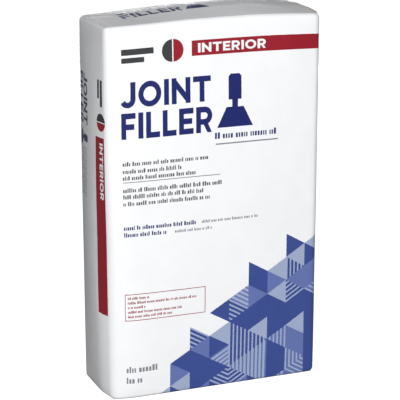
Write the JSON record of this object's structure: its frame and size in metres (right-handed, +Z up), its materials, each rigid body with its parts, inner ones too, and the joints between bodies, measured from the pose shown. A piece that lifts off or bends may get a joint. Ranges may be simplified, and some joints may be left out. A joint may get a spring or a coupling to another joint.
{
  "type": "joint compound sack",
  "caption": "Filled multiwall paper sack of dry powder: an upright block with folded ends, pasted cover patches, a lapped back seam and a closed valve sleeve.",
  "frame": {"origin": "middle of the sack's footprint, on the surface that it stands on", "axes": "+Z up the sack, +Y from the front panel to the back seam, +X across the front panel, towards its right-hand side"},
  "size_m": [0.2776, 0.101, 0.457],
  "materials": {
    "printed_paper": "satin",
    "patch_paper": "matte",
    "kraft_paper": "matte",
    "barrier_kraft": "satin",
    "sleeve_paper": "matte",
    "adhesive": "satin",
    "powder": "matte"
  },
  "bodies": {
    "root": {"powder_fill": "powder", "inner_kraft_ply": "kraft_paper", "barrier_ply": "barrier_kraft", "outer_printed_ply": "printed_paper", "valve_sleeve": "sleeve_paper", "top_cover_patch": "patch_paper", "bottom_cover_patch": "patch_paper", "back_seam_adhesive": "adhesive", "valve_adhesive": "adhesive", "top_flap_adhesive": "adhesive", "top_patch_adhesive": "adhesive", "bottom_flap_adhesive": "adhesive", "bottom_patch_adhesive": "adhesive"}
  },
  "joints": []
}
